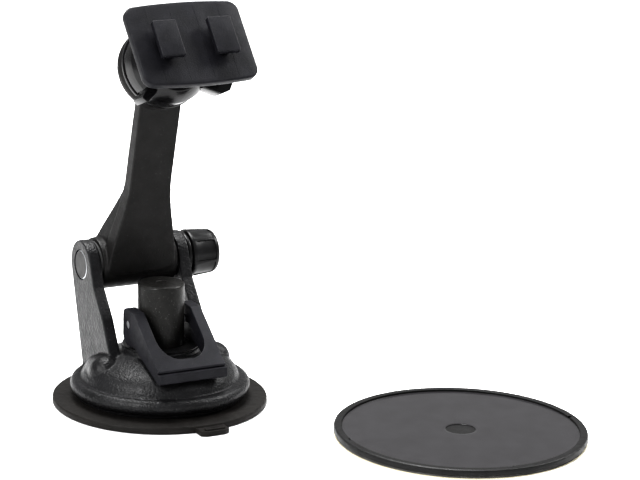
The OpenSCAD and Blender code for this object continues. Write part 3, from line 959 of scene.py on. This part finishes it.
@dataclass
class LockingPost:
    """The centre post with its pull plate, stud and pin."""

    radius: float = 8.7
    top: float = 45.9
    low: float = 14.1
    seam: float = 0.22

    def post(self) -> None:
        """The post with its chamfered top and the mould lines down its sides."""
        r, top = self.radius, self.top
        turned = Solid.revolve(
            [(0, self.low), (r, self.low), (r, top - 0.9), (r - 0.12, top - 0.5), (r - 0.5, top - 0.12),
             (r - 0.9, top), (2.0, top), (1.8, top - 0.15), (0, top - 0.15)], 96)
        wide = (-self.seam, self.seam)
        cuts = [
            Solid.block(wide, wide, (24, 50)).moved(Matrix.Translation((side * r, 0, 0)))
            for side in (-1, 1)
        ]
        bore = Solid.drum(3.0, 0, 26, 48)
        pin = Solid.drum(1.5, -12, 12, 32).placed(Frame.PIN)
        piece = turned.minus(bore, pin, *cuts).piece("locking_post", POST_PLASTIC)
        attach(piece, "post")
        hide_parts("lever_post")

    def build(self) -> None:
        """Builds the post and dresses the metal in it."""
        self.post()
        for node in ("pull_plate", "pull_stud", "lever_pin"):
            dress(node, STEEL)


@dataclass
class CamLever:
    """The U-shaped lever that lifts the post with its cam."""

    half_width: float = 13.5
    reach: float = 28.8
    ear_in: float = 9.3
    ear_h: float = 5.9
    lip_top: float = 19.7
    lip_low: float = 15.9
    slope_in: float = 1.8
    cam_r0: float = 8.0
    cam_drop: float = 3.2
    cam_front: float = 4.0
    opening: float = 80.0

    def outline(self) -> list[Point2]:
        """The lever's side outline, drawn as (y, z), with the cam as a spiral round the pin."""
        pin_z, front, round_r = LAYOUT.pin_z, self.cam_front, 2.6
        cam = []
        for degrees in range(0, 61, 5):
            a = math.radians(degrees)
            r = self.cam_r0 - self.cam_drop / self.opening * degrees
            cam.append((min(front, r * math.sin(a)), pin_z - r * math.cos(a)))
        ear_top, lip_top, lip_low = pin_z + self.ear_h, self.lip_top, self.lip_low
        slope_y, slope_z = self.reach - self.slope_in, lip_top + 0.8
        corner = arc((front - round_r, ear_top - round_r), round_r, 0, 90, 8)
        return [
            (-6.6, pin_z - self.cam_r0 + 0.5), *cam, *corner, (-5.8, ear_top - 0.3), (-slope_y, slope_z),
            (-slope_y - 0.3, lip_top), (-self.reach, lip_top - 0.2), (-self.reach, lip_low + 0.2),
            (-self.reach + 0.6, lip_low - 0.2), (-slope_y + 0.8, lip_low - 0.1),
        ]

    def slot_outline(self) -> list[Point2]:
        """The plan outline of the slot that straddles the post."""
        w, end, corner = self.ear_in, self.reach - 5.3, 7.6
        return rounded_corners([(-w, 20, 0), (-w, -end, corner), (w, -end, corner), (w, 20, 0)], 12)

    def build(self) -> None:
        """Cuts and moulds the lever."""
        hw, top = self.half_width, LAYOUT.pin_z + self.ear_h
        body = Solid.prism(self.outline(), -hw, hw).placed(Frame.SIDE)
        slot = Solid.prism(self.slot_outline(), -5, 60)
        inner = self.ear_in + 1.2
        slope_y, slope_z = self.reach - self.slope_in, self.lip_top + 0.8
        hollow = Solid.prism([
            (-3.8, top - 7), (-slope_y + 2.4, slope_z - 1.8), (-slope_y + 2.4, 0), (20, 0),
            (20, top - 7)], -inner, inner).placed(Frame.SIDE)
        groove = Solid.block((-self.reach - 1, -slope_y + 0.5), (self.lip_top - 0.25, self.lip_top + 0.25),
                             (-hw - 1, hw + 1)).placed(Frame.SIDE)
        pin = Solid.drum(1.56, -20, 20, 32).placed(Frame.PIN)
        shaped = body.minus(slot, hollow).moulded(0.25, 2)
        piece = shaped.minus(groove, pin).piece("cam_lever", LEVER_PLASTIC, 45.0)
        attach(piece, "lever")
        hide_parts("lever")


@dataclass
class FoldingArm:
    """The arm with its barrel, face panel, gusset, rib and ball socket."""

    length: float = 86.4
    barrel_r: float = 9.8
    barrel_hw: float = 14.9
    neck_w: float = 16.6
    foot_w: float = 27.6
    front: float = 10.15
    neck_front: float = 9.3
    foot_t: float = 6.4
    neck_t: float = 4.6
    ball_r: float = 8.5
    cup_r: float = 15.0
    cup_rim: float = 3.6
    cup_back: float = -14.8
    thread_r: float = 12.4
    flare: float = 37.0

    def half_at(self, along: float) -> float:
        """Half width of the face panel at a distance along the arm."""
        t = max(0.0, min(1.0, (self.flare - along) / self.flare))
        return self.neck_w / 2 + (self.foot_w - self.neck_w) / 2 * t * t * (3 - 2 * t)

    def face_outline(self, top: float, inset: float) -> list[Point2]:
        """The face panel's front outline, drawn as (x, along): flared sides and a round-cornered foot.

        Args:
            top: Where the outline ends towards the head.
            inset: How far it is shrunk.

        Returns:
            The outline's points in order.
        """
        low, steps, corner = 4.4, 24, 0.55
        half = self.half_at(low) - inset
        sag = low + 0.1 - inset
        heights = [low + (top - low) * i / steps for i in range(steps + 1)]
        right = [(self.half_at(w) - inset, w) for w in heights]
        left = [(-self.half_at(w) + inset, w) for w in reversed(heights)]
        under = []
        for i in range(1, 2 * steps):
            a = math.pi / 2 * i / steps
            across, down = -math.cos(a), math.sin(a)
            under.append((math.copysign(half * abs(across) ** corner, across), low - sag * down ** corner))
        return [*right, *left, *under]

    def face_block(self, front: float, depth: float, top: float, inset: float) -> Solid:
        """The face outline pushed back from a front depth, in the arm frame."""
        flat = Solid.prism(self.face_outline(top, inset), 0, depth)
        stand = Matrix(((1, 0, 0, 0), (0, 0, -1, -front + depth), (0, 1, 0, 0), (0, 0, 0, 1)))
        return flat.moved(stand)

    def socket_cup(self) -> Solid:
        """The bowl behind the ball with the threaded spigot for the ring nut."""
        rim, back, end = self.cup_rim, self.cup_back, -0.8
        edge = arc((self.cup_r - rim, back + rim), rim, -90, 90, 16)
        spigot = [(self.thread_r, back + 2 * rim), (self.thread_r, end), (0, end)]
        return Solid.revolve([(0, back), *edge, *spigot], 96)

    def build(self) -> None:
        """Builds the arm with its washers."""
        top = self.length - 4
        side = LAYOUT.matrix(Frame.SIDE)
        f, n = self.front, self.neck_front
        panel = self.face_block(f, self.foot_t, top, 0.0).within(Solid.prism([
            (-f - 1, -10), (-f, 4), (-n, 40), (-n, top + 1), (-n + self.neck_t, top + 1),
            (-n + self.foot_t - 0.4, 30), (-2, 0), (-2, -10)], -40, 40).moved(side))
        gusset = self.face_block(f - 1, 2 * self.barrel_r, self.flare, 0.9).within(Solid.prism([
            (-n + 1, 0), (-n + 1, 36), (-2.6, 33), (self.barrel_r * 0.8, self.barrel_r * 0.45),
            (self.barrel_r * 0.7, 0)], -40, 40).moved(side))
        rib = Solid.prism([
            (-n + 2, 20), (-n + 2, top - 2), (-0.5, top - 6), (1.5, 26), (4, 20)], -2.5, 2.5).moved(side)
        barrel = Solid.drum(self.barrel_r, -self.barrel_hw, self.barrel_hw).placed(Frame.HINGE)
        arm = LAYOUT.matrix(Frame.ARM)
        skin = barrel.joined(panel.moved(arm), gusset.moved(arm), rib.moved(arm),
                             self.socket_cup().placed(Frame.SOCKET)).moulded(0.4, 3)
        bowl = Solid.revolve([(0, -8.6), *arc((0, 0), 8.6, -84, 0, 16), (0, 0)], 96)
        mouth = Solid.drum(11.1, -2.2, 20)
        bore = Solid.drum(2.56, -40, 40, 48).placed(Frame.HINGE)
        piece = skin.minus(bowl.placed(Frame.SOCKET), mouth.placed(Frame.SOCKET), bore).piece(
            "folding_arm", ARM_PLASTIC, 45.0)
        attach(piece, "arm")
        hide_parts("main_arm")
        dress("pivot_washers", WASHER_RUBBER)


@dataclass
class ClampKnob:
    """The knob, its collar and the nut in it."""

    start: float = 22.6
    length: float = 11.7
    base_r: float = 9.2
    end_r: float = 8.4
    round_r: float = 1.8
    panels: int = 6
    panel_w: float = 7.8
    panel_d: float = 0.45
    panel_turn: float = 12.0
    socket_r: float = 4.6
    collar_start: float = 20.8

    def build(self) -> None:
        """Builds the knob with its recessed grip panels."""
        span, tip = self.length, self.end_r
        body = Solid.revolve([
            (0, 0), (self.base_r - 0.6, 0), (self.base_r - 0.15, 0.15), (self.base_r, 0.6),
            *arc((tip - self.round_r, span - self.round_r), self.round_r, 4, 90, 8),
            (3.0, span), (2.8, span - 0.2), (0, span - 0.2)], 96)
        half, low, high = self.panel_w / 2, 1.6, span - 2.0
        window = Solid.prism(rounded_corners([(-half, low, 0.9), (half, low, 0.9), (half, high, 0.9),
                                              (-half, high, 0.9)], 4), 3.0, 14)
        keep = Solid.revolve([(0, -1), (self.base_r - self.panel_d + 0.07, -1),
                              (tip - self.panel_d - 0.07, span + 1), (0, span + 1)], 96)
        ring = Solid.grown(window.placed(Frame.SIDE).minus(keep).mesh, ring_tree(), Count=self.panels,
                           Start_Angle=math.radians(self.panel_turn)).outward()
        sixths = [math.radians(60 * i) for i in range(6)]
        hexagon = [(math.cos(a) * self.socket_r, math.sin(a) * self.socket_r) for a in sixths]
        socket = Solid.prism(hexagon, -1, 5.5)
        hole = Solid.drum(2.8, -1, span - 1.1, 48)
        shaped = body.minus(ring).bevelled(0.3, 3, 40).minus(socket, hole)
        hinge = LAYOUT.matrix(Frame.HINGE)
        piece = shaped.moved(hinge @ Matrix.Translation((0, 0, self.start))).piece(
            "clamp_knob_grip", KNOB_PLASTIC)
        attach(piece, "knob")
        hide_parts("clamp_knob")
        collar = Solid.revolve([
            (2.6, 0), (8.2, 0), (8.5, 0.15), (8.6, 0.45), (8.6, 0.95), (8.5, 1.25), (8.2, 1.4),
            (2.6, 1.4)], 64)
        ring_piece = collar.moved(hinge @ Matrix.Translation((0, 0, self.collar_start))).piece(
            "knob_collar", KNOB_PLASTIC)
        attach(ring_piece, "clamp_slider")
        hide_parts("clamp_collar")
        dress("knob_nut", BRASS)


@dataclass
class BallHead:
    """The ring nut, the pressure ring, the ball and its stalk."""

    nut_r: float = 15.2
    thread_r: float = 12.4
    low: float = -6.4
    high: float = 7.2
    ribs: int = 2
    wing_r: float = 23.9
    rib_angle: float = -135.0
    rib_r: float = 19.2
    rib_w: float = 2.8
    wing_w: float = 8.0
    wing_angle: float = -28.0
    ball_r: float = 8.5
    plate_gap: float = 0.3

    def wing(self, reach: float, width: float, span: Point2, cut: float) -> Solid:
        """One gripping wing, pointing along X.

        Args:
            reach: How far it reaches from the nut's axis.
            width: Its width.
            span: Its lower and upper heights.
            cut: How much its outer corners are cut back.

        Returns:
            The wing with softened edges.
        """
        root, half = self.thread_r + 1.4, width / 2
        return Solid.prism(rounded_corners([
            (root, -half - 0.6, 0), (reach - cut, -half, 0.4), (reach, -half + cut, 0.2),
            (reach, half - cut, 0.2), (reach - cut, half, 0.4), (root, half + 0.6, 0)], 4),
            *span).bevelled(0.4, 3)

    def nut(self) -> None:
        """The winged ring nut."""
        r, low, high, t = self.nut_r, self.low, self.high, self.thread_r
        body = Solid.revolve([
            (t + 0.06, low), (r + 0.2, low), (r + 0.5, low + 0.3), (r + 0.5, low + 1.2),
            (r + 0.3, low + 1.5), (r, low + 1.6), (r, low + 7.7), (r - 0.15, low + 8.2),
            (r - 3.2, high - 0.35), (r - 3.6, high - 0.05), (r - 4.0, high), (10.6, high),
            (8.8, 4.6), (t - 1.1, 4.6), (t - 1.1, 0.4), (t + 0.06, 0.4)], 128)
        broad = self.wing(self.wing_r, self.wing_w, (-1.4, 5.3), 2.6)
        narrow = self.wing(self.rib_r, self.rib_w, (-3.4, 5.2), 0.5)
        ring = Solid.grown(narrow.mesh, ring_tree(), Count=self.ribs,
                           Start_Angle=math.radians(self.rib_angle)).outward()
        broad = broad.moved(Matrix.Rotation(math.radians(self.wing_angle), 4, "Z"))
        piece = body.plus(ring, broad).placed(Frame.SOCKET).piece("winged_ring_nut", NUT_PLASTIC)
        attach(piece, "nut")
        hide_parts("ring_nut")

    def build(self) -> None:
        """Builds the nut, the ball and the stalk."""
        self.nut()
        r = self.ball_r
        ball = Solid.revolve([(0, -r), *arc((0, 0), r, -86, 86, 40), (0, r)], 96)
        piece = ball.placed(Frame.SOCKET).piece("swivel_ball", NUT_PLASTIC)
        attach(piece, "ball")
        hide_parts("ball")
        back = HolderPlate.offset - HolderPlate.thickness / 2 - self.plate_gap
        solid = Solid.revolve([
            (0, 8.6), *arc((0, 0), 8.6, 89, 66, 6), (3.5, back - 3.2), (3.7, back - 2.8),
            (6.8, back - 0.4), (7.0, back), (1.26, back), (1.26, 11.3), (0, 11.3)], 64)
        neck = solid.placed(Frame.PLATE).piece("ball_stalk", PLATE_PLASTIC)
        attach(neck, "stalk")
        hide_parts("plate_stalk")
        dress("pressure_ring", NUT_PLASTIC)


@dataclass
class HolderPlate:
    """The holder plate with its two T-tabs."""

    width: float = 45.2
    height: float = 32.9
    thickness: float = 3.0
    offset: float = 19.1
    low: float = 3.1
    bow: float = 1.1
    corner: float = 4.0
    tab_w: float = 9.2
    tab_h: float = 14.3
    tab_t: float = 2.2
    tab_neck: float = 2.6
    tab_pitch: float = 21.8
    ridge_gap: float = 9.6
    ridge_hw: float = 0.14

    def outline(self) -> list[Point2]:
        """The plate's outline: straight ends, bowed long edges and round corners."""
        hw, hh = self.width / 2, self.height / 2
        side = hh - self.bow
        bow_r = (hw * hw + self.bow ** 2) / (2 * self.bow)
        steps = 16
        upper = [(hw - 2 * hw * i / steps, 0.0) for i in range(1, steps)]
        top = [(x, hh - bow_r + math.sqrt(bow_r ** 2 - x * x), 0.0) for x, _ in upper]
        bottom = [(-x, -y, 0.0) for x, y, _ in top]
        c = self.corner
        return rounded_corners([(hw, side, c), *top[2:-2], (-hw, side, c), (-hw, -side, c), *bottom[2:-2],
                                (hw, -side, c)], 8)

    def build(self) -> None:
        """Builds the plate with both T-tabs as one moulding."""
        t, off = self.thickness, self.offset
        plate = Solid.prism(self.outline(), off - t / 2, off + t / 2).bevelled(0.55, 3, 50)
        plate = plate.moved(Matrix.Translation((0, -self.low, 0)))
        face = off + t / 2
        reach, wide = self.height / 2 - 1.8, self.ridge_hw
        ridge = Solid.block((-wide, wide), (-reach, reach), (face - 0.3, face + 0.05))
        ridges = Solid.grown(ridge.moved(Matrix.Translation((-1.5 * self.ridge_gap, -self.low, 0))).mesh,
                             line_tree(), Count=4, Spacing=self.ridge_gap).outward()
        hw, hh, low = self.tab_w / 2, self.tab_h / 2, face + self.tab_neck
        head_outline = rounded_corners([(-hw, -hh, 0.5), (hw, -hh, 0.5), (hw, hh, 0.5), (-hw, hh, 0.5)], 4)
        solids = []
        for side in (-1, 1):
            stem = Solid.block((-2.3, 2.3), (-hh + 1.7, hh - 1.7), (face - 0.5, low + 0.5))
            head = Solid.prism(head_outline, low, low + self.tab_t).bevelled(0.35, 3)
            place = Matrix.Translation((side * self.tab_pitch / 2, -self.low, 0))
            solids += [stem.moved(place), head.moved(place)]
        pocket = Solid.drum(1.3, off - 4, face - 1, 32)
        piece = plate.plus(ridges, *solids).minus(pocket).placed(Frame.PLATE).piece(
            "t_tab_plate", PLATE_PLASTIC)
        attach(piece, "plate")
        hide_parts("holder_plate")
        dress("stud_screw", STEEL)


@dataclass
class AdhesiveDisc:
    """The loose dashboard disc: moulded disc, foam pad and peel-off liner."""

    radius: float = 46.0
    rim_w: float = 2.9
    low: float = 1.0
    top: float = 3.4
    floor: float = 2.6
    notch_w: float = 1.6
    notches: tuple[float, ...] = (174.0, 351.0, 262.0)

    def build(self) -> None:
        """Builds the disc, with a gloss face inside a satin rim, and its backing."""
        r, inner = self.radius, self.radius - self.rim_w
        low, top, floor = self.low, self.top, self.floor
        body = Solid.revolve([
            (0, low), (r - 0.3, low), (r, low + 0.3), (r, top - 0.7), (r - 0.15, top - 0.3),
            (r - 0.5, top - 0.05), (r - 0.9, top), (inner + 0.35, top), (inner + 0.08, top - 0.1),
            (inner, top - 0.3), (inner, floor + 0.05), (inner - 0.1, floor), (inner - 1.3, floor),
            (6.6, floor), (5.7, floor), (5.45, floor - 0.1), (5.4, floor - 0.3), (0, floor - 0.3)], 192)
        half = self.notch_w / 2
        notch = Solid.block((inner - 1, inner + 0.9), (-half, half), (floor + 0.02, top + 1))
        cuts = [notch.moved(Matrix.Rotation(math.radians(a), 4, "Z")) for a in self.notches]
        piece = body.minus(*cuts).placed(Frame.DISC).piece("dashboard_disc", DISC_SATIN)
        piece.data.materials.append(DISC_GLOSS.material())
        centre = Vector((LAYOUT.disc_x, LAYOUT.disc_y)) * MM
        for face in piece.data.polygons:
            off = (face.center.xy - centre).length
            if 5.5 * MM < off < (inner - 0.05) * MM and face.normal.z > 0.9:
                face.material_index = 1
        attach(piece, "disc")
        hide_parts("disc_plate")
        dress("disc_pad", FOAM)
        dress("disc_liner", PAPER)


# ---- studio ----


@dataclass
class Studio:
    """The plain floor, the soft lights and the camera."""

    target: tuple[float, float, float] = (0.05093, -0.02823, 0.06360)
    azimuth: float = -29.0
    elevation: float = 14.74
    distance: float = 0.9195
    roll: float = 1.6
    lens: float = 140.625

    def floor(self) -> None:
        """A pale plain floor and an even white surround."""
        ring = [(6.0 * math.cos(TAU * i / 64), 6.0 * math.sin(TAU * i / 64), 0.0) for i in range(64)]
        mesh = bpy.data.meshes.new("floor")
        mesh.from_pydata(ring, [], [tuple(range(64))])
        floor = bpy.data.objects.new("floor", mesh)
        bpy.context.scene.collection.objects.link(floor)
        pale = bpy.data.materials.new("pale_floor")
        pale.use_nodes = True
        shader = pale.node_tree.nodes["Principled BSDF"]
        shader.inputs["Base Color"].default_value = (0.9, 0.9, 0.9, 1.0)
        shader.inputs["Roughness"].default_value = 0.9
        shader.inputs["Specular IOR Level"].default_value = 0.1
        mesh.materials.append(pale)
        world = bpy.data.worlds.new("surround")
        world.use_nodes = True
        sky = world.node_tree.nodes["Background"]
        sky.inputs["Color"].default_value = (1.0, 1.0, 1.0, 1.0)
        sky.inputs["Strength"].default_value = 0.42
        bpy.context.scene.world = world

    def light(self, name: str, place: Sequence[float], size: float, power: float) -> None:
        """A square soft light that faces the mount.

        Args:
            name: The light's name.
            place: Where it stands, in metres.
            size: Side of the square.
            power: Power in watts.
        """
        lamp = bpy.data.lights.new(name, "AREA")
        lamp.size, lamp.energy = size, power
        obj = bpy.data.objects.new(name, lamp)
        obj.location = place
        aim = Vector((0.03, -0.02, 0.06)) - Vector(place)
        obj.rotation_euler = aim.to_track_quat("-Z", "Y").to_euler()
        bpy.context.scene.collection.objects.link(obj)

    def camera(self) -> None:
        """The camera, at the viewing angle that the mount is shown from."""
        az, el = math.radians(self.azimuth), math.radians(self.elevation)
        back = Vector((math.sin(az) * math.cos(el), -math.cos(az) * math.cos(el), math.sin(el)))
        target = Vector(self.target)
        data = bpy.data.cameras.new("camera")
        data.lens, data.sensor_width = self.lens, 36.0
        data.clip_start, data.clip_end = 0.01, 20.0
        obj = bpy.data.objects.new("camera", data)
        turn = (-back).to_track_quat("-Z", "Y").to_matrix().to_4x4()
        roll = Matrix.Rotation(math.radians(self.roll), 4, "Z")
        obj.matrix_world = Matrix.Translation(target + back * self.distance) @ turn @ roll
        bpy.context.scene.collection.objects.link(obj)
        bpy.context.scene.camera = obj

    def build(self) -> None:
        """Sets up the whole studio."""
        self.floor()
        self.light("left_softbox", (-0.9, -0.35, 0.8), 0.4, 13.0)
        self.light("top_softbox", (0.1, 0.35, 1.2), 0.6, 22.0)
        self.light("right_softbox", (0.9, -0.1, 0.8), 0.4, 8.0)
        self.camera()
        bpy.context.scene.view_settings.view_transform = "Standard"
        bpy.context.scene.view_settings.look = "High Contrast"


def main() -> None:
    """Builds every sub-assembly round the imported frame, then the studio."""
    logging.basicConfig(level=logging.INFO, format="%(name)s: %(message)s")
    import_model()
    for part in (SuctionBase(), LockingPost(), CamLever(), FoldingArm(), ClampKnob(), BallHead(),
                 HolderPlate(), AdhesiveDisc()):
        LOG.info("building %s", type(part).__name__)
        part.build()
    Studio().build()


if __name__ == "__main__":
    main()
